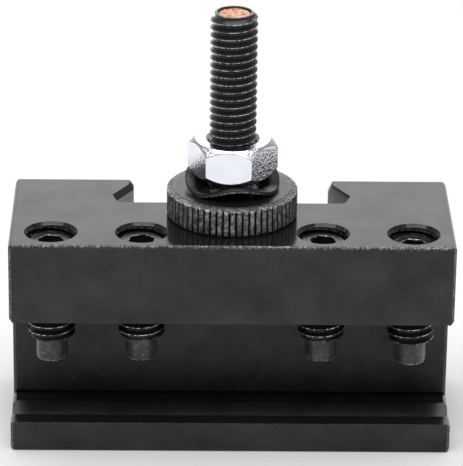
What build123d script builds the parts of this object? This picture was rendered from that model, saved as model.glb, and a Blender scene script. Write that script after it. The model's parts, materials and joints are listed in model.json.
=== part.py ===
from build123d import *
from math import cos, pi, radians, sin, tan
import os

# Quick-change turning and boring tool holder: a steel block with a tool slot in front and a
# vertical dovetail behind, four tool clamping screws and a height-setting stud with its nuts.
#
# Frame: +Z up, +X along the block, -Y out of the open front of the tool slot.
# Origin: middle of the bottom of the bounding box, so the block stands on z = 0.
# Every length is in millimetres and every angle in degrees.

# ---- Driving dimensions ----

# Block
block_length = 56.0
block_depth = 22.0
block_height = 28.5
end_chamfer = 0.4
long_edge_chamfer = 0.2

# Tool slot, open at the front and at both ends
slot_floor = 4.0
slot_height = 13.85
slot_depth = 9.0
slot_root_relief = 0.2
slot_ceiling_radius = 0.25

# V groove in the slot's floor, for round boring bars
vee_width = 4.0
vee_angle = 100.0

# Dovetail, cut through the block from top to bottom
dovetail_depth = 7.8
dovetail_mouth = 25.3
dovetail_angle = 60.0
mouth_land = 1.7
root_land = 2.5
root_bevel = 0.5
lead_in_width = 0.6
lead_in_height = {-1: 0.8, 1: 1.3}

# Metric M6 thread, cut as plain cylinders at its major diameter
thread_major = 6.0
thread_clearance = 0.05

# Clamping screws: M6 x 16, dog point, hexagon socket
screw_count = 4
screw_pitch = 11.4
screw_setback = 4.35
screw_length = 16.0
screw_recess = {1: 1.10, 2: 0.95, 3: 0.95, 4: 1.35}
screw_countersink = 6.8
screw_top_chamfer = 0.4
dog_diameter = 4.0
dog_length = 3.0
dog_chamfer = 0.25
thread_end_chamfer = 0.4
socket_flats = 3.0
socket_depth = 3.5
socket_turn = {1: 110.0, 2: 82.0, 3: 102.0, 4: 110.0}
drill_point_angle = 118.0

# Height stud
stud_setback = 10.85
stud_top = 55.6
stud_engagement = 8.0
stud_hole_depth = 8.1
stud_fit = 0.02
stud_top_chamfer = 0.65
tap_drill = 5.0

# Plug in the end of the stud
plug_diameter = 4.1
plug_thickness = 1.0
plug_chamfer = 0.15
plug_recess = 0.12
plug_rim_clearance = 0.02

# Knurled height nut
knurled_diameter = 16.6
knurled_height = 3.75
knurled_band = 0.95
knurled_band_drop = 0.3
knurled_foot_radius = 0.5
thread_countersink = 0.4

# Wave spring washer
washer_outer = 12.0
washer_bore = 6.6
washer_thickness = 0.5
washer_waves = 3
washer_crest_angle = -83.0
washer_clearance = 0.02
wave_points = 24

# Lock nut
lock_nut_flats = 10.0
lock_nut_height = 4.7
lock_nut_gap = 1.86
lock_nut_turn = -6.5
lock_nut_crown = 9.5
lock_nut_crown_angle = 45.0

# Room for cuts to run past the faces they open through
overshoot = 0.5

# ---- Worked-out places ----

front_y = -block_depth / 2
back_y = block_depth / 2
slot_wall_y = front_y + slot_depth
slot_ceiling = slot_floor + slot_height
screw_y = front_y + screw_setback
stud_y = front_y + stud_setback
dovetail_floor_y = back_y - dovetail_depth
thread_radius = thread_major / 2
running_radius = thread_radius + thread_clearance
knurled_top = block_height + knurled_height
lock_nut_bottom = knurled_top + lock_nut_gap


def screw_stations():
    """Number and X of each clamping screw, from left to right, evenly spaced about the middle."""
    first = -screw_pitch * screw_count / 2
    stations = [first + screw_pitch * step for step in range(screw_count + 1) if 2 * step != screw_count]
    return list(enumerate(stations, start=1))


def turned(profile, x=0.0, y=0.0, z=0.0):
    """Solid of revolution about Z from (radius, height) points, set down at a place."""
    face = Plane.XZ * make_face(Polyline(*profile, close=True))
    return Pos(x, y, z) * revolve(face, Axis.Z, 360)


def rod(radius, bottom, top, x=0.0, y=0.0):
    """Upright cylinder between two heights."""
    height = top - bottom
    return Pos(x, y, bottom) * Cylinder(radius, height, align=(Align.CENTER, Align.CENTER, Align.MIN))


def cone_height(radius, point_angle):
    """Height of a cone with the given base radius and full angle at its point."""
    return radius / tan(radians(point_angle / 2))


# ---- Holder body ----


def block_blank():
    """C-shaped bar: head above the tool slot, web behind it and lip below, its ends chamfered all round."""
    blank = Box(block_length, block_depth, block_height, align=(Align.CENTER, Align.CENTER, Align.MIN))
    reach = block_depth
    slot = Pos(0, slot_wall_y, slot_floor) * Box(
        block_length + reach, reach, slot_height, align=(Align.CENTER, Align.MAX, Align.MIN)
    )
    bar = fillet_slot_corner(blank - slot)
    bar = chamfer(bar.faces().filter_by(Axis.X).edges(), end_chamfer)
    return bar & chamfer(blank.edges().filter_by(Axis.X), long_edge_chamfer)


def fillet_slot_corner(bar):
    """Small cutter radius where the slot's ceiling meets its back wall."""
    corner = bar.edges().filter_by(Axis.X).sort_by_distance((0, slot_wall_y, slot_ceiling))[0]
    return fillet(corner, slot_ceiling_radius)


def vee_groove():
    """Groove along the slot's floor, straight under the clamping screws."""
    half = vee_width / 2
    deep = cone_height(half, vee_angle)
    spread = half + overshoot * tan(radians(vee_angle / 2))
    profile = Polyline((screw_y - spread, slot_floor + overshoot), (screw_y, slot_floor - deep),
                       (screw_y + spread, slot_floor + overshoot), close=True)
    return extrude(Plane.YZ * make_face(profile), block_length / 2, both=True)


def slot_relief():
    """Square relief where the slot's floor meets its back wall, so a sharp-cornered tool seats."""
    side = slot_root_relief
    return Pos(0, slot_wall_y, slot_floor) * Box(block_length, 2 * side, 2 * side)


def half_dovetail_outline(side, spread, height):
    """Plan of one half of the dovetail: land at the mouth, flank, land at the root, bevelled corner."""
    past_back = back_y + overshoot
    mouth_x = dovetail_mouth / 2 + spread
    flank_start_y = back_y - mouth_land
    flank_end_y = dovetail_floor_y + root_land
    root_x = mouth_x + (flank_start_y - flank_end_y) / tan(radians(dovetail_angle))
    points = [
        (0, past_back),
        (mouth_x, past_back),
        (mouth_x, flank_start_y),
        (root_x, flank_end_y),
        (root_x - spread, dovetail_floor_y + root_bevel),
        (root_x - spread - root_bevel, dovetail_floor_y),
        (0, dovetail_floor_y),
    ]
    outline = Polyline(*[(side * x, y) for x, y in points], close=True)
    return Plane.XY.offset(height) * make_face(outline)


def dovetail_cut():
    """Both halves of the dovetail, each opening out at the top and at the bottom as a lead-in."""
    cut = []
    for side, rise in lead_in_height.items():
        straight = half_dovetail_outline(side, 0, -overshoot)
        cut.append(extrude(straight, block_height + 2 * overshoot, dir=(0, 0, 1)))
        for face_z, inward in ((block_height, -1), (0.0, 1)):
            wide = half_dovetail_outline(side, lead_in_width, face_z)
            narrow = half_dovetail_outline(side, 0, face_z + inward * rise)
            cut.append(loft([narrow, wide], ruled=True))
    return cut


def screw_hole(x):
    """Tapped hole through the head, countersunk at the top."""
    rim = screw_countersink / 2
    profile = [
        (0, slot_ceiling - overshoot),
        (running_radius, slot_ceiling - overshoot),
        (running_radius, block_height - (rim - running_radius)),
        (rim + overshoot, block_height + overshoot),
        (0, block_height + overshoot),
    ]
    return turned(profile, x, screw_y)


def stud_hole():
    """Blind tapped hole for the stud, with the tap drill's point at its end."""
    wall = thread_radius + stud_fit
    bottom = block_height - stud_hole_depth
    drill = tap_drill / 2
    profile = [
        (0, bottom - cone_height(drill, drill_point_angle)),
        (drill, bottom),
        (wall, bottom),
        (wall, block_height + overshoot),
        (0, block_height + overshoot),
    ]
    return turned(profile, 0, stud_y)


def make_holder_body():
    body = block_blank() - vee_groove() - slot_relief()
    for piece in dovetail_cut():
        body -= piece
    for _, x in screw_stations():
        body -= screw_hole(x)
    return body - stud_hole()


# ---- Clamping screws ----


def make_set_screw(number, x):
    """Dog-point set screw with a hexagon socket, standing at its own depth in the head."""
    top = block_height - screw_recess[number]
    tip = top - screw_length
    shoulder = tip + dog_length
    dog = dog_diameter / 2
    profile = [
        (0, tip),
        (dog - dog_chamfer, tip),
        (dog, tip + dog_chamfer),
        (dog, shoulder),
        (thread_radius - thread_end_chamfer, shoulder),
        (thread_radius, shoulder + thread_end_chamfer),
        (thread_radius, top - screw_top_chamfer),
        (thread_radius - screw_top_chamfer, top),
        (0, top),
    ]
    blank = turned(profile, x, screw_y)
    hexagon = RegularPolygon(socket_flats / 2, 6, major_radius=False, rotation=socket_turn[number])
    socket = Pos(x, screw_y, top) * extrude(hexagon, -socket_depth)
    point = socket_flats / 2
    drill = turned([(0, -cone_height(point, drill_point_angle)), (point, 0), (0, 0)],
                   x, screw_y, top - socket_depth)
    return blank - socket - drill


# ---- Height stud and its plug ----


def make_height_stud():
    bottom = block_height - stud_engagement
    rim = plug_diameter / 2 + plug_rim_clearance
    pocket = stud_top - plug_recess - plug_thickness
    profile = [
        (0, bottom),
        (thread_radius - thread_end_chamfer, bottom),
        (thread_radius, bottom + thread_end_chamfer),
        (thread_radius, stud_top - stud_top_chamfer),
        (thread_radius - stud_top_chamfer, stud_top),
        (rim, stud_top),
        (rim, pocket),
        (0, pocket),
    ]
    return turned(profile, 0, stud_y)


def make_stud_plug():
    top = stud_top - plug_recess
    disc = rod(plug_diameter / 2, top - plug_thickness, top, 0, stud_y)
    return chamfer(disc.edges().group_by(Axis.Z)[-1], plug_chamfer)


# ---- Nuts and washer on the stud ----


def make_knurled_nut():
    """Round height nut with a shallow chamfered band round its top and a rounded foot."""
    outer = knurled_diameter / 2
    foot = knurled_foot_radius
    mouth = running_radius + thread_countersink
    bore_side = [(running_radius, knurled_height - thread_countersink),
                 (running_radius, thread_countersink),
                 (mouth, 0)]
    rim_side = [(outer, knurled_height - knurled_band_drop),
                (outer - knurled_band, knurled_height),
                (mouth, knurled_height)]
    section = make_face(
        Polyline(*rim_side, *bore_side, (outer - foot, 0))
        + RadiusArc((outer - foot, 0), (outer, foot), -foot)
        + Line((outer, foot), rim_side[0])
    )
    return Pos(0, stud_y, block_height) * revolve(Plane.XZ * section, Axis.Z, 360)


def wave_height(angle):
    """Height of the washer's middle surface above its mean level, at an angle about the stud."""
    swing = (lock_nut_gap - washer_thickness) / 2 - washer_clearance
    return swing * cos(washer_waves * radians(angle - washer_crest_angle))


def wave_loop(radius, offset):
    """Closed wavy curve at a radius, a fixed height from the washer's middle surface."""
    step = 360.0 / wave_points
    angles = [step * index for index in range(wave_points)]
    points = [(radius * cos(radians(a)), radius * sin(radians(a)), wave_height(a) + offset) for a in angles]
    return Edge.make_spline(points, periodic=True)


def make_wave_washer():
    """Thin ring bent into three waves, between the knurled nut and the lock nut."""
    half = washer_thickness / 2
    loops = [
        wave_loop(washer_bore / 2, half),
        wave_loop(washer_outer / 2, half),
        wave_loop(washer_outer / 2, -half),
        wave_loop(washer_bore / 2, -half),
    ]
    sides = [Face.make_surface_from_curves(loops[k], loops[(k + 1) % 4]) for k in range(4)]
    middle = knurled_top + lock_nut_gap / 2
    return Pos(0, stud_y, middle) * Solid(Shell(sides))


def make_lock_nut():
    """Hexagon nut, crowned at both ends, its bore countersunk."""
    hexagon = RegularPolygon(lock_nut_flats / 2, 6, major_radius=False, rotation=lock_nut_turn)
    prism = extrude(hexagon, lock_nut_height)
    crown = lock_nut_crown / 2
    corner = lock_nut_flats / 2 / cos(pi / 6) + overshoot
    drop = (corner - crown) * tan(radians(lock_nut_crown_angle))
    envelope = turned([
        (0, 0),
        (crown, 0),
        (corner, drop),
        (corner, lock_nut_height - drop),
        (crown, lock_nut_height),
        (0, lock_nut_height),
    ])
    mouth = running_radius + thread_countersink
    bore = turned([
        (0, 0),
        (mouth, 0),
        (running_radius, thread_countersink),
        (running_radius, lock_nut_height - thread_countersink),
        (mouth, lock_nut_height),
        (0, lock_nut_height),
    ])
    return Pos(0, stud_y, lock_nut_bottom) * ((prism & envelope) - bore)


# ---- One STEP file for each piece ----

os.makedirs("parts", exist_ok=True)
pieces = {
    "holder_body": make_holder_body(),
    "height_stud": make_height_stud(),
    "stud_plug": make_stud_plug(),
    "knurled_nut": make_knurled_nut(),
    "wave_washer": make_wave_washer(),
    "lock_nut": make_lock_nut(),
}
for number, station in screw_stations():
    pieces[f"set_screw_{number}"] = make_set_screw(number, station)
for node, piece in pieces.items():
    export_step(piece, f"parts/{node}.step")
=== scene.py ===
import json
from math import ceil, cos, floor, pi, radians, sin, tan, tau

import bmesh
import bpy
from mathutils import Matrix, Vector
from mathutils import noise as field


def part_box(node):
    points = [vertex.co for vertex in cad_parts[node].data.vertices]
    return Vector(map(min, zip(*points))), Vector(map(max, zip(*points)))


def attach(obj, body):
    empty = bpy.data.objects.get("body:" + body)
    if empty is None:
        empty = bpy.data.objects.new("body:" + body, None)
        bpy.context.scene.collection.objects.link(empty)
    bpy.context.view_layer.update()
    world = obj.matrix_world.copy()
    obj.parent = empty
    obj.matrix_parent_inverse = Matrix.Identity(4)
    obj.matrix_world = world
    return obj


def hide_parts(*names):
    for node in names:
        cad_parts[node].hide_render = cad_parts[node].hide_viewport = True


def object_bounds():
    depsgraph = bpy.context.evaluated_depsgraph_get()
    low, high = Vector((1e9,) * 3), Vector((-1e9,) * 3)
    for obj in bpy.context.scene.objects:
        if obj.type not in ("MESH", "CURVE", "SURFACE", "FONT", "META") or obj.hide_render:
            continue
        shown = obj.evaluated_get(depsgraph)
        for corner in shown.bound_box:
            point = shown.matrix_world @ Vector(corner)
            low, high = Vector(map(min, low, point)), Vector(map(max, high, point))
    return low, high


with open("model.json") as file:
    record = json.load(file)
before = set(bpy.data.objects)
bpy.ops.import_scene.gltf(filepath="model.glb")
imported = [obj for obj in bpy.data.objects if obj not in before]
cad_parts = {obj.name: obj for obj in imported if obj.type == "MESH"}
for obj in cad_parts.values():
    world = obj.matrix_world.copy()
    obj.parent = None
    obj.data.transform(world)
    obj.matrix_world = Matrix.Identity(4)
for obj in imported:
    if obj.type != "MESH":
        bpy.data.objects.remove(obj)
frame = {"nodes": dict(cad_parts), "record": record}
cad_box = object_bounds()

MM = 0.001

# ---- Places and sizes, read from the frame ----

body_low, body_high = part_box("holder_body")
stud_low, stud_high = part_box("height_stud")
stud_x = (stud_low.x + stud_high.x) / 2
stud_y = (stud_low.y + stud_high.y) / 2
screw_nodes = sorted(name for name in frame["nodes"] if name.startswith("set_screw_"))

# ---- Sizes of the detail that the frame holds only as plain cylinders ----

THREAD_PITCH = 1.0 * MM
THREAD_DEPTH = 0.613 * MM
THREAD_SEGMENTS = 96
ROUND_SEGMENTS = 180
# One turn of the thread's outline: (share of the pitch, share of the depth)
THREAD_OUTLINE = [(0.0, 0.93), (0.02, 1.0), (0.105, 1.0), (0.125, 0.93),
                  (0.42, 0.06), (0.48, 0.0), (0.645, 0.0), (0.705, 0.06)]
TAPPED_DEPTH = 0.3 * MM
CREST_CLEARANCE = 0.02 * MM
NUT_BORE = 3.05 * MM
NUT_COUNTERSINK = 0.4 * MM

# ---- Wear and painted shade written on the vertices: 1 is bare metal, and -1 a hollow painted dark as shade, its reflection turned off ----

CREST_FILL = 0.99
# Painted shade in a thread's roots: how far their reflection is turned down
ROOT_PAINTED_SHADE = 0.35
TURNED_WEAR = 0.6
TAPPED_FILL = 0.01
TAPPED_LIP_WEAR = 0.8
EDGE_WEAR = 0.9
# Painted shade in a hollow: its reflection is turned off
PAINTED_HOLLOW_SHADE = -1.0

# ---- Tolerances ----

DOUBLES = 1e-8
CAD_DOUBLES = 1e-7
SAME_LEVEL = 1e-6
FLATNESS = radians(1.0)
CREASE = radians(32)
ROUNDED_CREASE = radians(28)
FLAT_FACE_WEIGHT = 80


# ---- Mesh helpers ----


def clamp(value, low, high):
    """The value held between two limits."""
    return max(low, min(high, value))


def steps(first, last, count):
    """Evenly spaced values from first to last, both included."""
    return [first + (last - first) * index / (count - 1) for index in range(count)]


class Turning:
    """
    A surface built ring by ring about an upright axis. Radii and heights may depend on the angle.
    Each point also carries wear and painted shade: 1 is rubbed bare, 0 is sound, -1 is a hollow painted dark
    as shade, its reflection turned off.
    """

    def __init__(self, x, y, segments, start=0.0, mesh=None):
        self.mesh = mesh or bmesh.new()
        self.worn = self.mesh.verts.layers.float.get("worn") or self.mesh.verts.layers.float.new("worn")
        self.centre = (x, y)
        self.start = start
        self.angles = [start + tau * index / segments for index in range(segments)]

    def place(self, radius, angle, height, worn=0.0):
        """One vertex at a radius, an angle and a height."""
        x, y = self.centre
        made = self.mesh.verts.new((x + radius * cos(angle), y + radius * sin(angle), height))
        made[self.worn] = worn
        return made

    def ring(self, radius, height, worn=0.0):
        """Closed ring of vertices; each value is a number or a function of the angle."""
        made = []
        for angle in self.angles:
            values = [value(angle) if callable(value) else value for value in (radius, height, worn)]
            made.append(self.place(values[0], angle, values[1], values[2]))
        return made

    def join(self, lower, upper):
        """Quads between two rings."""
        for index in range(len(lower)):
            after = (index + 1) % len(lower)
            self.mesh.faces.new((lower[index], lower[after], upper[after], upper[index]))

    def skin(self, outline):
        """Rings joined one to the next along a list of (radius, height) or (radius, height, wear and painted
        shade).
        """
        rings = [self.ring(*point) for point in outline]
        for lower, upper in zip(rings, rings[1:]):
            self.join(lower, upper)
        return rings

    def cap(self, ring, height, worn=0.0):
        """Fan from a ring to a point on the axis."""
        point = self.place(0.0, 0.0, height, worn)
        for index in range(len(ring)):
            self.mesh.faces.new((ring[index], ring[(index + 1) % len(ring)], point))

    def fill(self, angle, height):
        """How full the thread is at an angle and a height: 1 on its crest, 0 in its root."""
        share = height / THREAD_PITCH - (angle - self.start) / tau
        share -= floor(share)
        outline = THREAD_OUTLINE + [(1.0, THREAD_OUTLINE[0][1])]
        for (low, first), (high, last) in zip(outline, outline[1:]):
            if share <= high:
                return first + (last - first) * (share - low) / (high - low)
        return 1.0

    def thread(self, surface, bottom, top):
        """
        Right-handed helix between two heights. surface(fill, height) gives its radius, and its wear and
        painted shade.
        Returns the rings at its two ends.
        """
        def point(angle, height):
            radius, worn = surface(self.fill(angle, height), height)
            return self.place(radius, angle, height, worn)

        count = len(self.angles)
        rows = []
        for turn in range(floor(bottom / THREAD_PITCH) - 1, ceil(top / THREAD_PITCH) + 1):
            for share, _ in THREAD_OUTLINE:
                heights = [(turn + share + index / count) * THREAD_PITCH for index in range(count)]
                rows.append([point(angle, clamp(height, bottom, top))
                             for angle, height in zip(self.angles, heights)])
        per_turn = len(THREAD_OUTLINE)
        for index in range(len(rows) - per_turn - 1):
            low = rows[index] + [rows[index + per_turn][0]]
            high = rows[index + 1] + [rows[index + 1 + per_turn][0]]
            for step in range(count):
                self.patch((low[step], low[step + 1], high[step + 1], high[step]), (bottom, top))
        return [[point(angle, end) for angle in self.angles] for end in (bottom, top)]

    def patch(self, corners, ends):
        """One face of the thread, left out where it lies flat in an end plane."""
        levels = {round(corner.co.z, 9) for corner in corners}
        if len(levels) > 1 or levels.isdisjoint(round(end, 9) for end in ends):
            self.mesh.faces.new(corners)

    def finish(self, name):
        """The surface as an object, its doubled vertices merged and its normals outwards."""
        bmesh.ops.remove_doubles(self.mesh, verts=self.mesh.verts, dist=DOUBLES)
        bmesh.ops.dissolve_degenerate(self.mesh, dist=DOUBLES, edges=self.mesh.edges)
        bmesh.ops.recalc_face_normals(self.mesh, faces=self.mesh.faces)
        return as_object(name, self.mesh)


def cut_thread(crest, limit):
    """Surface of a thread cut into a rod and turned down to limit(height)."""
    def surface(fill, height):
        radius = crest - THREAD_DEPTH * (1 - fill)
        turned = limit(height)
        # Crests are rubbed bare; the roots get painted shade, their reflection turned down by how deep they
        # lie
        worn = 1.0 if fill > CREST_FILL else -ROOT_PAINTED_SHADE * (1 - fill)
        return min(radius, turned), worn if radius < turned else TURNED_WEAR
    return surface


def tapped_thread(bore):
    """Surface of a thread cut into the wall of a bore."""
    def surface(fill, height):
        # The thread's hollows get painted shade, their reflection turned down by how deep they are; the land
        # at the bore is a rubbed lip
        return bore + TAPPED_DEPTH * fill, -fill if fill > TAPPED_FILL else TAPPED_LIP_WEAR
    return surface


def as_object(name, mesh):
    """Puts a bmesh into the scene, smooth-shaded between its creases."""
    for face in mesh.faces:
        face.smooth = True
    for edge in mesh.edges:
        if edge.is_manifold and edge.calc_face_angle() > CREASE:
            edge.smooth = False
    data = bpy.data.meshes.new(name)
    mesh.to_mesh(data)
    mesh.free()
    made = bpy.data.objects.new(name, data)
    bpy.context.scene.collection.objects.link(made)
    return made


def round_edges(piece, width):
    """Rounds a piece's sharp edges by a small width."""
    rounded = piece.modifiers.new("round_edges", "BEVEL")
    rounded.width = width
    rounded.segments = 3
    rounded.limit_method = "ANGLE"
    rounded.angle_limit = ROUNDED_CREASE
    return piece


def keep_flats(piece):
    """Lets the large flat faces of a piece decide the shading at their edges."""
    weighted = piece.modifiers.new("flat_faces", "WEIGHTED_NORMAL")
    weighted.keep_sharp = True
    weighted.weight = FLAT_FACE_WEIGHT
    return piece


# ---- Pieces ----


EDGE_ROUNDING = 0.06 * MM
HOLE_BORE = 3.02 * MM
HOLE_COUNTERSINK = 3.37 * MM
HOLE_REACH = 3.45 * MM
COUNTERSINK_DEPTH = 0.35 * MM
COUNTERSINK_LIP = 0.06 * MM
HOLE_BOTTOM_LAND = 0.4 * MM


def screw_axis(node):
    """Where a screw's axis stands in plan."""
    low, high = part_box(node)
    return (low.x + high.x) / 2, (low.y + high.y) / 2


def near_axis(vertex, axis):
    """Whether a vertex belongs to the screw hole at an axis."""
    return (vertex.co.xy - Vector(axis)).length < HOLE_REACH


def fill_rim(mesh, axis, height):
    """Closes the flat gap between the block's open hole edge and the new ring inside it."""
    rims = [edge for edge in mesh.edges if edge.is_boundary
            and all(near_axis(v, axis) and abs(v.co.z - height) < SAME_LEVEL for v in edge.verts)]
    bmesh.ops.triangle_fill(mesh, edges=rims, use_beauty=True, normal=(0.0, 0.0, 1.0))


def tap_hole(mesh, axis):
    """Puts a countersunk thread in place of a plain screw hole of the block."""
    wall = [face for face in mesh.faces if all(near_axis(v, axis) for v in face.verts)]
    levels = [vertex.co.z for face in wall for vertex in face.verts]
    bottom, top = min(levels), max(levels)
    bmesh.ops.delete(mesh, geom=wall, context="FACES")
    work = Turning(*axis, THREAD_SEGMENTS, mesh=mesh)
    neck = bottom + HOLE_BOTTOM_LAND
    sink = top - COUNTERSINK_DEPTH
    thread_low, thread_high = work.thread(tapped_thread(HOLE_BORE), neck, sink)
    land = work.skin([(HOLE_BORE, bottom), (HOLE_BORE, neck)])
    work.join(land[-1], thread_low)
    rim = work.skin([
        (HOLE_BORE, sink, EDGE_WEAR),
        (HOLE_BORE + COUNTERSINK_LIP, sink + COUNTERSINK_LIP),
        (HOLE_COUNTERSINK, top),
    ])
    work.join(thread_high, rim[0])
    fill_rim(mesh, axis, bottom)
    fill_rim(mesh, axis, top)


def make_holder_body():
    """The block as the frame has it: flat faces made whole, edges rounded, screw holes threaded."""
    mesh = bmesh.new()
    mesh.from_mesh(frame["nodes"]["holder_body"].data)
    mesh.verts.layers.float.new("worn")
    bmesh.ops.remove_doubles(mesh, verts=mesh.verts, dist=CAD_DOUBLES)
    bmesh.ops.dissolve_limit(mesh, angle_limit=FLATNESS, verts=mesh.verts, edges=mesh.edges)
    axes = [screw_axis(node) for node in screw_nodes]
    sharp = [edge for edge in mesh.edges if edge.calc_face_angle() > CREASE
             and not any(near_axis(v, axis) for v in edge.verts for axis in axes)]
    bmesh.ops.bevel(mesh, geom=sharp, offset=EDGE_ROUNDING, segments=2, profile=0.5, affect="EDGES")
    for axis in axes:
        tap_hole(mesh, axis)
    bmesh.ops.remove_doubles(mesh, verts=mesh.verts, dist=DOUBLES)
    bmesh.ops.dissolve_degenerate(mesh, dist=DOUBLES, edges=mesh.edges)
    bmesh.ops.recalc_face_normals(mesh, faces=mesh.faces)
    return keep_flats(as_object("holder_block", mesh))


def hexagon_radius(flats, turn):
    """Radius of a hexagon outline as a function of the angle, with a corner at the angle turn."""
    def radius(angle):
        within = (angle - turn) % (pi / 3) - pi / 6
        return flats / 2 / cos(within)
    return radius


SOCKET_FLATS = 3.0 * MM
SOCKET_DEPTH = 3.5 * MM
SOCKET_CONE = 0.8 * MM
SOCKET_FLOOR_SHARE = 0.47
SOCKET_TURNS = {"set_screw_1": 110.0, "set_screw_2": 82.0, "set_screw_3": 102.0, "set_screw_4": 110.0}
DOG_RADIUS = 2.0 * MM
DOG_LENGTH = 3.0 * MM
DOG_ROUNDING = 0.25 * MM
DOG_NECK = 0.2 * MM
DOG_DOME = 0.02 * MM
DOG_DOME_SHARE = 0.55
DOG_WEAR = 0.3
# How far up a rounding or a neck its middle ring stands
MIDDLE = 0.3
SOCKET_MOUTH = 0.08 * MM
SCREW_TOP_ROUNDING = 0.1 * MM
SCREW_TOP_RING = 2.6 * MM
SCREW_TOP_WEAR = 0.1
SOCKET_LIP_WEAR = 0.6
THREAD_END_RADIUS = 2.6 * MM


def make_set_screw(node):
    """Dog-point socket set screw with a cut thread."""
    low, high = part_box(node)
    crest = (high.x - low.x) / 2 - CREST_CLEARANCE
    tip, top = low.z, high.z
    shoulder = tip + DOG_LENGTH
    turn = radians(SOCKET_TURNS[node])
    work = Turning(*screw_axis(node), THREAD_SEGMENTS, turn)

    def limit(height):
        return min(SCREW_TOP_RING + (top - height), THREAD_END_RADIUS + (height - shoulder))

    thread_bottom, thread_top = work.thread(cut_thread(crest, limit), shoulder, top)
    dog = work.skin([
        (DOG_RADIUS * DOG_DOME_SHARE, tip, DOG_WEAR),
        (DOG_RADIUS - DOG_ROUNDING, tip, DOG_WEAR),
        (DOG_RADIUS - DOG_ROUNDING * MIDDLE, tip + DOG_ROUNDING * MIDDLE, EDGE_WEAR),
        (DOG_RADIUS, tip + DOG_ROUNDING, DOG_WEAR),
        (DOG_RADIUS, shoulder - DOG_NECK, DOG_WEAR),
        # Painted shade in the neck's groove
        (DOG_RADIUS + DOG_NECK * MIDDLE, shoulder - DOG_NECK * MIDDLE, PAINTED_HOLLOW_SHADE),
        (DOG_RADIUS + DOG_NECK, shoulder, PAINTED_HOLLOW_SHADE),
    ])
    work.cap(dog[0], tip + DOG_DOME, DOG_WEAR)
    work.join(dog[-1], thread_bottom)
    hexagon = hexagon_radius(SOCKET_FLATS, turn)
    floor_z = top - SOCKET_DEPTH
    socket = work.skin([
        (SCREW_TOP_RING - SCREW_TOP_ROUNDING, top, 1.0),
        (SCREW_TOP_RING - SCREW_TOP_ROUNDING * 2, top, SCREW_TOP_WEAR),
        (lambda angle: hexagon(angle) + SOCKET_MOUTH * 2, top, SCREW_TOP_WEAR),
        (lambda angle: hexagon(angle) + SOCKET_MOUTH, top, EDGE_WEAR),
        (hexagon, top - SOCKET_MOUTH, SOCKET_LIP_WEAR),
        # Painted shade inside the socket: its walls, its floor and the cone below
        (hexagon, top - SOCKET_MOUTH * 3, PAINTED_HOLLOW_SHADE),
        (hexagon, floor_z, PAINTED_HOLLOW_SHADE),
        (SOCKET_FLATS * SOCKET_FLOOR_SHARE, floor_z, PAINTED_HOLLOW_SHADE),
    ])
    work.join(thread_top, socket[0])
    work.cap(socket[-1], floor_z - SOCKET_CONE, PAINTED_HOLLOW_SHADE)
    return work.finish(node + "_threaded")


PLUG_RIM = 2.07 * MM
PLUG_RIM_LIP = 0.05 * MM
PLUG_POCKET = 1.12 * MM
STUD_TOP_RING = 2.35 * MM


def make_height_stud():
    """The stud with its whole thread, and the shallow pocket that holds the plug."""
    crest = (stud_high.x - stud_low.x) / 2 - CREST_CLEARANCE
    top, bottom = stud_high.z, stud_low.z
    work = Turning(stud_x, stud_y, THREAD_SEGMENTS)

    def limit(height):
        return min(STUD_TOP_RING + (top - height), THREAD_END_RADIUS + (height - bottom))

    lower, upper = work.thread(cut_thread(crest, limit), bottom, top)
    work.cap(lower, bottom)
    pocket = work.skin([
        (PLUG_RIM + PLUG_RIM_LIP, top),
        (PLUG_RIM, top - PLUG_RIM_LIP),
        (PLUG_RIM, top - PLUG_POCKET),
    ])
    work.join(upper, pocket[0])
    work.cap(pocket[-1], top - PLUG_POCKET)
    return work.finish("height_stud_threaded")


TORN_RELIEF = 0.10 * MM
TORN_SCALE = 6.0
TORN_OCTAVES = 3
TORN_RINGS = steps(0.95, 0.08, 14)
RAGGED_DROP = 0.2 * MM
RAGGED_RADIUS = 0.985
RAGGED_DEPTH = 0.012
RAGGED_SCALE = 4
RAGGED_LEVEL = 3


def make_stud_plug():
    """Rough copper disc: its top is torn and uneven, as sawn soft metal is."""
    low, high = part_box("stud_plug")
    radius = (high.x - low.x) / 2
    work = Turning(stud_x, stud_y, THREAD_SEGMENTS)

    def torn(share):
        """Height of the top on a ring at a share of the radius."""
        def height(angle):
            spot = Vector((cos(angle), sin(angle), 0)) * share * TORN_SCALE
            return high.z - TORN_RELIEF + TORN_RELIEF * field.fractal(spot, 1.0, 2.0, TORN_OCTAVES)
        return height

    def ragged(angle):
        """Radius of the disc's uneven upper edge."""
        spot = Vector((cos(angle), sin(angle), RAGGED_LEVEL)) * RAGGED_SCALE
        return radius * (RAGGED_RADIUS + RAGGED_DEPTH * field.noise(spot))

    outline = [(radius, low.z), (ragged, high.z - RAGGED_DROP)]
    outline += [(radius * share, torn(share)) for share in TORN_RINGS]
    rings = work.skin(outline)
    work.cap(rings[0], low.z)
    work.cap(rings[-1], high.z - TORN_RELIEF)
    return work.finish("stud_plug_disc")


KNURLS = 62
KNURL_SEGMENTS = 10
KNURL_DEPTH = 0.30 * MM
KNURL_TIP_SHARE = 0.5
KNURL_TIP_WEAR = 0.45
# Painted shade in the knurl's valleys: how far their reflection is turned down
KNURL_VALLEY_PAINTED_SHADE = 0.6
KNURL_BAND = 0.95 * MM
KNURL_BAND_DROP = 0.3 * MM
KNURL_FOOT = 0.5 * MM
KNURL_SHARPNESS = 0.8
# Clear height between the foot, the top edge and the plain length of the ridges
KNURL_FOOT_GAP = 0.3 * MM
KNURL_TOP_GAP = 0.25 * MM
# Rings near the top edge: (height below it, wear), then (distance inside it, wear)
KNURL_BELOW_RIM = [(0.15 * MM, 0.9), (0.0, 1.0)]
KNURL_INSIDE_RIM = [(0.1 * MM, 0.9), (0.25 * MM, 0.3)]
# Crisp ring where the sloping band meets the flat top
BAND_EDGE = 0.05 * MM
BAND_EDGE_DROP = 0.015 * MM
BAND_EDGE_WEAR = 0.8
BAND_INSET = 0.1 * MM


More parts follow.
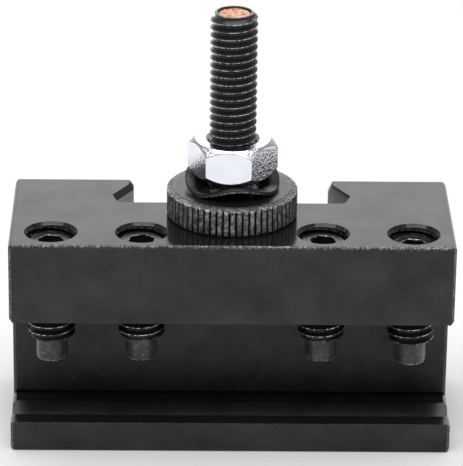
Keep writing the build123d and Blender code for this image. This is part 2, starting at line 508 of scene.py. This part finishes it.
def make_knurled_nut():
    """Round nut with straight knurling between a chamfered top and a rounded foot."""
    low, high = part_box("knurled_nut")
    outer = (high.x - low.x) / 2
    bottom, top = low.z, high.z
    work = Turning(stud_x, stud_y, KNURLS * KNURL_SEGMENTS)

    def ridge(angle):
        """Broad ridge and sharp valley, from 1 on the ridge to 0 in the valley."""
        share = abs(2 * (angle * KNURLS / tau % 1.0) - 1)
        return clamp((1 - share) / (1 - KNURL_TIP_SHARE), 0.0, 1.0) ** KNURL_SHARPNESS

    def knurled(limit):
        return lambda angle: min(limit, outer - KNURL_DEPTH * (1 - ridge(angle)))

    mouth = NUT_BORE + NUT_COUNTERSINK
    shoulder_z = top - KNURL_BAND_DROP
    slope = KNURL_BAND_DROP / KNURL_BAND

    def rim_height(angle):
        """Where the knurling meets the sloping band, lower on the ridges than in the valleys."""
        return shoulder_z + (outer - knurled(outer)(angle)) * slope

    def tip(angle):
        """Rubbed tips of the ridges, and painted shade in the valleys between them."""
        return (KNURL_VALLEY_PAINTED_SHADE + KNURL_TIP_WEAR) * ridge(angle) - KNURL_VALLEY_PAINTED_SHADE

    def above_rim(rise):
        return lambda angle: rim_height(angle) + rise

    foot = [(outer - KNURL_FOOT + KNURL_FOOT * sin(turn), bottom + KNURL_FOOT * (1 - cos(turn)))
            for turn in steps(0, pi / 2, 7)]
    sides = steps(bottom + KNURL_FOOT + KNURL_FOOT_GAP, shoulder_z - KNURL_TOP_GAP, 5)
    outline = [(mouth, bottom)]
    outline += [(knurled(radius), height, tip) for radius, height in foot]
    outline += [(knurled(outer), height, tip) for height in sides]
    outline.append((knurled(outer), above_rim(-KNURL_TOP_GAP), tip))
    outline += [(knurled(outer), above_rim(-drop), wear) for drop, wear in KNURL_BELOW_RIM]
    outline += [(knurled(outer - inset), above_rim(inset * slope), wear) for inset, wear in KNURL_INSIDE_RIM]
    outline += [
        (outer - KNURL_BAND - BAND_EDGE, top - BAND_EDGE_DROP),
        (outer - KNURL_BAND, top, BAND_EDGE_WEAR),
        (outer - KNURL_BAND - BAND_INSET, top),
        (mouth, top),
        (NUT_BORE, top - NUT_COUNTERSINK),
        (NUT_BORE, bottom + NUT_COUNTERSINK),
    ]
    rings = work.skin(outline)
    work.join(rings[-1], rings[0])
    return work.finish("knurled_nut_turned")


WASHER_WAVES = 3
WASHER_CREST = radians(-83.0)
WASHER_THICKNESS = 0.5 * MM
WASHER_BORE = 3.3 * MM
WASHER_ROUNDING = 0.12 * MM


def make_wave_washer():
    """Thin ring stamped from spring steel, its edges rounded, bent into three waves."""
    low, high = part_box("wave_washer")
    outer = (high.x - low.x) / 2
    middle = (low.z + high.z) / 2
    swing = (high.z - low.z - WASHER_THICKNESS) / 2
    outer_corner = outer - WASHER_ROUNDING
    inner_corner = WASHER_BORE + WASHER_ROUNDING
    level = WASHER_THICKNESS / 2 - WASHER_ROUNDING
    work = Turning(stud_x, stud_y, ROUND_SEGMENTS)

    def wave(offset):
        return lambda angle: middle + swing * cos(WASHER_WAVES * (angle - WASHER_CREST)) + offset

    # Each rounded corner: (radius, height, angle it starts at, wear)
    corners = [
        (outer_corner, level, pi / 2, 0.0),
        (outer_corner, -level, 0, EDGE_WEAR),
        (inner_corner, -level, -pi / 2, 0.0),
        (inner_corner, level, -pi, 0.0),
    ]
    outline = []
    for radius, height, first, wear in corners:
        for turn in steps(first, first - pi / 2, 4):
            rise = height + WASHER_ROUNDING * sin(turn)
            outline.append((radius + WASHER_ROUNDING * cos(turn), wave(rise), wear))
    rings = work.skin(outline)
    work.join(rings[-1], rings[0])
    return work.finish("wave_washer_ring")


NUT_FLATS = 10.0 * MM
NUT_TURN = radians(-6.5)
NUT_CROWN = 4.75 * MM
NUT_CROWN_SLOPE = tan(radians(45))
NUT_EDGE_ROUNDING = 0.07 * MM
# The rough corners: depth of the cone where they are fully rough, and how soon they start
CORNER_DEPTH = 0.35 * MM
CORNER_START = 0.6


def make_lock_nut():
    """Hexagon nut: the crown's cone cuts the flats in curved edges."""
    low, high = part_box("lock_nut")
    bottom, top = low.z, high.z
    work = Turning(stud_x, stud_y, ROUND_SEGMENTS, NUT_TURN)
    hexagon = hexagon_radius(NUT_FLATS, NUT_TURN)
    mouth = NUT_BORE + NUT_COUNTERSINK

    def drop(angle):
        return (hexagon(angle) - NUT_CROWN) * NUT_CROWN_SLOPE

    def corner(angle):
        """1 at the hexagon's corners, where the forged crown stays rough."""
        return clamp(drop(angle) / CORNER_DEPTH - CORNER_START, 0.0, 1.0)

    rings = work.skin([
        (mouth, bottom),
        (NUT_CROWN, bottom),
        (hexagon, lambda angle: bottom + drop(angle)),
        (hexagon, lambda angle: top - drop(angle)),
        (lambda angle: (hexagon(angle) + NUT_CROWN) / 2, lambda angle: top - drop(angle) / 2, corner),
        (NUT_CROWN, top),
        (mouth, top),
        (NUT_BORE, top - NUT_COUNTERSINK),
        (NUT_BORE, bottom + NUT_COUNTERSINK),
    ])
    work.join(rings[-1], rings[0])
    return keep_flats(round_edges(work.finish("lock_nut_hexagon"), NUT_EDGE_ROUNDING))


# ---- Materials ----


BEVEL_SAMPLES = 6
# Scratches: features per metre along them, through the wall and across them
SCRATCH_SCALE = (260.0, 1.0, 9000.0)


class Shader:
    """Builds one node material."""

    def __init__(self, name, **values):
        self.material = bpy.data.materials.new(name)
        self.material.use_nodes = True
        self.tree = self.material.node_tree
        self.surface = self.tree.nodes["Principled BSDF"]
        for socket, value in values.items():
            self.surface.inputs[socket.replace("_", " ")].default_value = value
        self.place = self.node("TexCoord").outputs["Object"]

    def node(self, kind, inputs=(), **settings):
        """Adds a node; an input that is itself a socket is linked, and any other is a value."""
        made = self.tree.nodes.new("ShaderNode" + kind)
        for name, value in settings.items():
            setattr(made, name, value)
        for name, value in dict(inputs).items():
            if isinstance(value, bpy.types.NodeSocket):
                self.tree.links.new(value, made.inputs[name])
            else:
                made.inputs[name].default_value = value
        return made

    def noise(self, scale, detail, roughness):
        """Noise over the object; its scale is in features per metre."""
        inputs = {"Vector": self.place, "Scale": scale, "Detail": detail, "Roughness": roughness}
        return self.node("TexNoise", inputs).outputs["Fac"]

    def ramp(self, factor, *stops):
        """Grey or colour ramp through (position, value) stops."""
        made = self.node("ValToRGB", {"Fac": factor})
        band = made.color_ramp
        while len(band.elements) < len(stops):
            band.elements.new(0.5)
        for element, (position, value) in zip(band.elements, stops):
            element.position = position
            element.color = (*value, 1) if isinstance(value, tuple) else (value, value, value, 1)
        return made.outputs["Color"]

    def maths(self, operation, first, second=0.0):
        """Result of one operation on two values, or on the first alone."""
        return self.node("Math", {0: first, 1: second}, operation=operation).outputs[0]

    def affine(self, value, scale, offset):
        """value * scale + offset"""
        return self.maths("ADD", self.maths("MULTIPLY", value, scale), offset)

    def axis(self, name):
        """One of the object coordinates."""
        return self.node("SeparateXYZ", {"Vector": self.place}).outputs[name]

    def worn(self):
        """The wear and painted shade written on the mesh's vertices."""
        return self.node("Attribute", attribute_name="worn").outputs["Fac"]

    def scratches(self, tilt):
        """Sparse thin straight lines on an upright wall, tilted from the horizontal."""
        turn = {"Vector": self.place, "Angle": radians(tilt)}
        turned = self.node("VectorRotate", turn, rotation_type="Y_AXIS").outputs["Vector"]
        drawn_out = self.node("Mapping", {"Vector": turned, "Scale": SCRATCH_SCALE}).outputs["Vector"]
        streaks = self.node("TexNoise", {"Vector": drawn_out, "Scale": 1.0, "Detail": 1.0}).outputs["Fac"]
        return self.ramp(streaks, (0.63, 0.0), (0.70, 1.0))

    def mix(self, factor, first, second):
        """Blend from the first colour to the second."""
        made = self.node("Mix", {"Factor": factor}, data_type="RGBA")
        for name, value in (("A", first), ("B", second)):
            socket = next(s for s in made.inputs if s.name == name and s.type == "RGBA")
            if isinstance(value, bpy.types.NodeSocket):
                self.tree.links.new(value, socket)
            else:
                socket.default_value = (*value, 1)
        return next(s for s in made.outputs if s.type == "RGBA")

    def edges(self, radius):
        """1 on sharp edges, falling to 0 at a distance from them."""
        rounded = self.node("Bevel", {"Radius": radius}, samples=BEVEL_SAMPLES).outputs["Normal"]
        plain = self.node("NewGeometry").outputs["Normal"]
        agree = self.node("VectorMath", {0: rounded, 1: plain}, operation="DOT_PRODUCT").outputs["Value"]
        return self.maths("SUBTRACT", 1.0, agree)

    def set(self, **sockets):
        """Links sockets to the surface's inputs."""
        for name, value in sockets.items():
            self.tree.links.new(value, self.surface.inputs[name.replace("_", " ")])

    def bump(self, height, distance):
        """Raises the surface by a height map; distance is in metres."""
        made = self.node("Bump", {"Height": height, "Distance": distance, "Strength": 1.0})
        self.set(Normal=made.outputs["Normal"])


BLACK = (0.0060, 0.0061, 0.0063)
DARK_GREY = (0.0115, 0.0117, 0.0117)
BARE_STEEL = (0.55, 0.545, 0.54)
DOG_GREY = (0.080, 0.079, 0.078)
RIDGE_GREY = (0.330, 0.328, 0.325)
ZINC_SHADE = (0.80, 0.82, 0.88)
ZINC_LIGHT = (0.90, 0.92, 0.97)
COPPER_HOLLOW = (0.30, 0.07, 0.04)
COPPER_FLANK = (0.64, 0.27, 0.14)
COPPER_TAN = (0.80, 0.52, 0.33)
COPPER_PALE = (0.95, 0.82, 0.66)
SKIN_IOR = 1.45
TIP_DULLING = 0.12
WASHER_WEAR = 0.9
EDGE_WEAR_REACH = 0.42 * MM
EDGE_FINDER = 0.2 * MM
BLOCK_WEAR = 0.36
BLOCK_RELIEF = 0.008 * MM
BLOCK_GRAIN = 0.4
SCRATCH_TILT = 45.0
SCRATCH_WEAR = 0.25
SLOT_WALL_DULLING = 0.28
SLOT_WALL_REACH = 0.05 * MM
# Share of the block's height that the slot stays below
SLOT_TOP_SHARE = 0.7
ZINC_RELIEF = 0.022 * MM
ZINC_DIMPLES = 1.4
CROWN_PITTING = 2.2
COPPER_RELIEF = 0.06 * MM


def black_oxide(name, gloss, spread, lift=1.0, grain=5200.0):
    """Blackened steel without wear: a dark skin with smudges and a fine grain."""
    made = Shader(name, IOR=SKIN_IOR)
    smudge = made.noise(230.0, detail=5.0, roughness=0.6)
    dark, light = (tuple(lift * channel for channel in shade) for shade in (BLACK, DARK_GREY))
    made.skin = made.mix(smudge, dark, light)
    made.fine = made.noise(grain, detail=3.0, roughness=0.7)
    specks = made.noise(grain * 0.6, detail=2.0, roughness=0.7)
    made.speckle = made.ramp(specks, (0.47, 0.0), (0.57, 1.0))
    made.gloss = made.affine(smudge, spread, gloss)
    made.shine = made.affine(made.fine, 0.36, made.affine(smudge, 0.55, 0.05))
    made.set(Roughness=made.gloss, Specular_IOR_Level=made.shine)
    return made


def rub(made, mask, wear):
    """Bares speckled metal where the mask is high."""
    rubbed = made.maths("MULTIPLY", made.maths("MULTIPLY", mask, made.speckle), wear)
    made.set(Base_Color=made.mix(rubbed, made.skin, BARE_STEEL), Metallic=rubbed)


def box_edge_band(made):
    """1 in a narrow band along the block's outermost upright and upper edges."""
    off_side = made.maths("SUBTRACT", body_high.y, made.maths("ABSOLUTE", made.axis("Y")))
    off_top = made.maths("SUBTRACT", body_high.z, made.axis("Z"))
    off_end = made.maths("SUBTRACT", body_high.x, made.maths("ABSOLUTE", made.axis("X")))
    nearer = made.maths("MINIMUM", off_side, off_top)
    farther = made.maths("MAXIMUM", off_side, off_top)
    off_edge = made.maths("MAXIMUM", nearer, made.maths("MINIMUM", farther, off_end))
    return made.ramp(made.maths("DIVIDE", off_edge, EDGE_WEAR_REACH), (0.55, 1.0), (1.0, 0.0))


def slot_wall_mask(made):
    """1 on the slot's upright back wall."""
    wall = next(mount for mount in frame["record"]["mounts"] if mount["name"] == "tool_slot_wall")
    off_wall = made.maths("ABSOLUTE", made.maths("SUBTRACT", made.axis("Y"), wall["pos_m"][1]))
    in_slot = made.maths("LESS_THAN", made.axis("Z"), body_high.z * SLOT_TOP_SHARE)
    return made.maths("MULTIPLY", made.maths("LESS_THAN", off_wall, SLOT_WALL_REACH), in_slot)


def block_steel():
    """Ground block: rubbed outer edges, a faint grain, crossed scratches on the slot's wall, and painted
    shade in the threads of its holes.
    """
    made = black_oxide("block_black_oxide", gloss=0.10, spread=0.07)
    patches = made.ramp(made.noise(700.0, detail=3.0, roughness=0.6), (0.35, 0.55), (0.60, 1.0))
    near_front = made.maths("LESS_THAN", made.axis("Y"), body_low.y + EDGE_WEAR_REACH)
    corner = made.ramp(made.edges(EDGE_FINDER), (0.02, 0.0), (0.14, 0.6))
    lines = made.maths("MULTIPLY", corner, near_front)
    band = made.maths("MAXIMUM", box_edge_band(made), lines)
    worn = made.worn()
    hole_lips = made.ramp(worn, (0.3, 0.0), (0.9, 1.0))
    rubbed = made.maths("MAXIMUM", made.maths("MULTIPLY", band, patches), hole_lips)
    on_wall = slot_wall_mask(made)
    crossed = made.maths("MAXIMUM", made.scratches(SCRATCH_TILT), made.scratches(-SCRATCH_TILT))
    scratches = made.maths("MULTIPLY", on_wall, crossed)
    rub(made, made.maths("MAXIMUM", rubbed, made.maths("MULTIPLY", scratches, SCRATCH_WEAR)), BLOCK_WEAR)
    # Painted shade: the hollows of the holes' threads lose their reflection by how deep they are, and the
    # rubbed hole lips reflect more
    made.set(Specular_IOR_Level=made.maths("MULTIPLY", made.shine, made.maths("ADD", worn, 1.0)))
    dulling = made.maths("MULTIPLY", on_wall, SLOT_WALL_DULLING)
    made.set(Roughness=made.maths("ADD", made.gloss, dulling))
    grain = made.maths("MULTIPLY", made.fine, BLOCK_GRAIN)
    made.bump(made.maths("SUBTRACT", grain, scratches), BLOCK_RELIEF)
    return made.material


def worn_and_shaded_steel(name, gloss, spread, lift, grain, dents, depth):
    """Black oxide on a piece whose mesh says where it is rubbed and where painted shade turns its reflection
    down.
    """
    made = black_oxide(name, gloss, spread, lift, grain)
    worn = made.worn()
    made.bared = made.ramp(worn, (0.35, 0.0), (1.0, 1.0))
    made.tips = made.ramp(worn, (0.0, 0.0), (DOG_WEAR, 1.0))
    # Painted shade: below 0 the reflection is turned down, fully off at -1
    painted_shade = made.maths("MAXIMUM", made.maths("MULTIPLY", worn, -1.0), 0.0)
    shown = made.maths("SUBTRACT", 1.0, painted_shade)
    made.set(Specular_IOR_Level=made.maths("MULTIPLY", made.shine, shown))
    made.bump(made.noise(dents, detail=4.0, roughness=0.7), depth)
    return made


def pale_tips(made, pale):
    """Bares the edges that are rubbed most, and dulls and lightens those rubbed a little."""
    uneven = made.ramp(made.noise(1100.0, detail=2.0, roughness=0.5), (0.38, 0.35), (0.62, 1.0))
    rubbed = made.maths("MULTIPLY", made.tips, uneven)
    speckled = made.maths("MULTIPLY", rubbed, made.affine(made.speckle, 0.7, 0.3))
    bare = made.maths("MULTIPLY", made.bared, made.speckle)
    grey = made.mix(speckled, made.skin, pale)
    made.set(Base_Color=made.mix(bare, grey, BARE_STEEL), Metallic=bare)
    dulling = made.maths("MULTIPLY", made.tips, TIP_DULLING)
    made.set(Roughness=made.maths("ADD", made.gloss, dulling))
    return made.material


def thread_steel():
    """The stud: a greyer skin, dented, with bright crests."""
    made = worn_and_shaded_steel("thread_black_oxide", gloss=0.10, spread=0.12, lift=3.0, grain=5200.0,
                      dents=2200.0, depth=0.030 * MM)
    return pale_tips(made, RIDGE_GREY)


def screw_steel():
    """The set screws: bright crests, and a dull grey dog point."""
    made = worn_and_shaded_steel("screw_black_oxide", gloss=0.12, spread=0.12, lift=1.6, grain=4200.0,
                      dents=3600.0, depth=0.010 * MM)
    return pale_tips(made, DOG_GREY)


def washer_steel():
    """The spring washer: rubbed along its lower outer edge."""
    made = worn_and_shaded_steel("washer_black_oxide", gloss=0.24, spread=0.12, lift=0.8, grain=5000.0,
                      dents=1800.0, depth=0.010 * MM)
    rub(made, made.bared, WASHER_WEAR)
    return made.material


def knurl_steel():
    """The knurled nut: pale rubbed ridges, and painted shade in the valleys."""
    made = worn_and_shaded_steel("knurl_black_oxide", gloss=0.20, spread=0.10, lift=1.0, grain=4600.0,
                      dents=3200.0, depth=0.02 * MM)
    return pale_tips(made, RIDGE_GREY)


def zinc():
    """Bright zinc plate over a rough-forged hexagon: clean colour, pitted and dimpled surface."""
    made = Shader("zinc_plate", Metallic=1.0)
    blotch = made.noise(350.0, detail=4.0, roughness=0.6)
    pits = made.ramp(made.noise(3100.0, detail=2.0, roughness=0.6), (0.38, 0.0), (0.62, 1.0))
    made.set(Base_Color=made.ramp(blotch, (0.3, ZINC_SHADE), (0.7, ZINC_LIGHT)))
    made.set(Roughness=made.affine(blotch, 0.12, 0.08))
    # 0 to 1 across the nut from left to right: it is pitted most on its right
    side = made.maths("DIVIDE", made.maths("SUBTRACT", made.axis("X"), stud_x), NUT_FLATS)
    rough_side = made.ramp(made.maths("ADD", side, 0.5), (0.30, 0.25), (0.75, 1.0))
    rough_crown = made.maths("MULTIPLY", made.worn(), CROWN_PITTING)
    pitted = made.maths("MULTIPLY", pits, made.maths("MAXIMUM", rough_side, rough_crown))
    dimpled = made.maths("MULTIPLY", blotch, ZINC_DIMPLES)
    made.bump(made.maths("ADD", pitted, dimpled), ZINC_RELIEF)
    return made.material


def copper():
    """Torn copper: pale tan high spots, orange flanks and red-brown hollows."""
    made = Shader("sawn_copper", Metallic=0.5)
    crumbs = made.noise(2400.0, detail=6.0, roughness=0.75)
    patches = made.noise(900.0, detail=3.0, roughness=0.6)
    tone = made.maths("ADD", made.maths("MULTIPLY", crumbs, 0.6), made.maths("MULTIPLY", patches, 0.4))
    made.set(Base_Color=made.ramp(
        tone, (0.38, COPPER_HOLLOW), (0.47, COPPER_FLANK), (0.54, COPPER_TAN), (0.65, COPPER_PALE)))
    made.set(Roughness=made.ramp(crumbs, (0.3, 0.6), (0.7, 0.35)))
    made.bump(crumbs, COPPER_RELIEF)
    return made.material


# ---- Assembly ----


def fit_out(piece, node, body, material):
    """Puts a finished piece in the place of a frame node."""
    piece.data.materials.clear()
    piece.data.materials.append(material)
    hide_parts(node)
    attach(piece, body)


# ---- Camera, light and floor ----

LENS = 263.2
SENSOR_WIDTH = 36.0
NEAREST_SEEN = 0.01
FARTHEST_SEEN = 20.0
CAMERA_PLACE = Vector((-6.29, -400.34, 196.19)) * MM
CAMERA_YAW = radians(0.898)
CAMERA_PITCH = radians(23.071)
CAMERA_ROLL = radians(0.743)


def make_camera():
    """Long lens at the place fitted to the photo."""
    data = bpy.data.cameras.new("camera")
    data.lens = LENS
    data.sensor_width = SENSOR_WIDTH
    data.clip_start = NEAREST_SEEN
    data.clip_end = FARTHEST_SEEN
    camera = bpy.data.objects.new("camera", data)
    bpy.context.scene.collection.objects.link(camera)
    turn = Matrix.Rotation(-CAMERA_YAW, 4, "Z") @ Matrix.Rotation(pi / 2 - CAMERA_PITCH, 4, "X")
    camera.matrix_world = Matrix.Translation(CAMERA_PLACE) @ turn @ Matrix.Rotation(CAMERA_ROLL, 4, "Z")
    bpy.context.scene.camera = camera


def make_softbox(name, place, width, length, radiance):
    """Softbox aimed at the middle of the object; its power follows from how bright it looks."""
    data = bpy.data.lights.new(name, "AREA")
    data.shape = "RECTANGLE"
    data.size = width
    data.size_y = length
    data.energy = radiance * pi * width * length
    lamp = bpy.data.objects.new(name, data)
    lamp.location = place
    aim = (cad_box[0] + cad_box[1]) / 2 - Vector(place)
    lamp.rotation_mode = "QUATERNION"
    lamp.rotation_quaternion = aim.to_track_quat("-Z", "Y")
    bpy.context.scene.collection.objects.link(lamp)


WORLD_LIGHT = 0.35
FLOOR_SHADE = 0.88
FLOOR_REACH = 4.0


def make_studio():
    """White tent of light, a brighter softbox behind and above, and a pale floor."""
    world = bpy.data.worlds.new("studio")
    world.use_nodes = True
    background = world.node_tree.nodes["Background"]
    background.inputs["Color"].default_value = (1.0, 1.0, 1.0, 1)
    background.inputs["Strength"].default_value = WORLD_LIGHT
    bpy.context.scene.world = world
    bpy.context.scene.view_settings.view_transform = "Standard"
    make_softbox("back_softbox", (0.0, 1.0, 0.47), width=0.8, length=0.8, radiance=1.45)
    make_softbox("overhead_softbox", (-0.05, -0.1, 1.0), width=1.1, length=1.1, radiance=2.7)
    floor_shader = Shader("pale_floor", Roughness=1.0, Specular_IOR_Level=0.0)
    floor_shader.surface.inputs["Base Color"].default_value = (FLOOR_SHADE, FLOOR_SHADE, FLOOR_SHADE, 1)
    mesh = bmesh.new()
    bmesh.ops.create_grid(mesh, x_segments=1, y_segments=1, size=FLOOR_REACH)
    floor_piece = as_object("floor", mesh)
    floor_piece.data.materials.append(floor_shader.material)


make_camera()
make_studio()

fit_out(make_holder_body(), "holder_body", "root", block_steel())
fit_out(make_height_stud(), "height_stud", "root", thread_steel())
fit_out(make_stud_plug(), "stud_plug", "root", copper())
fit_out(make_knurled_nut(), "knurled_nut", "knurled_nut", knurl_steel())
fit_out(make_wave_washer(), "wave_washer", "wave_washer", washer_steel())
fit_out(make_lock_nut(), "lock_nut", "lock_nut", zinc())
black_screw = screw_steel()
for screw_node in screw_nodes:
    fit_out(make_set_screw(screw_node), screw_node, screw_node, black_screw)
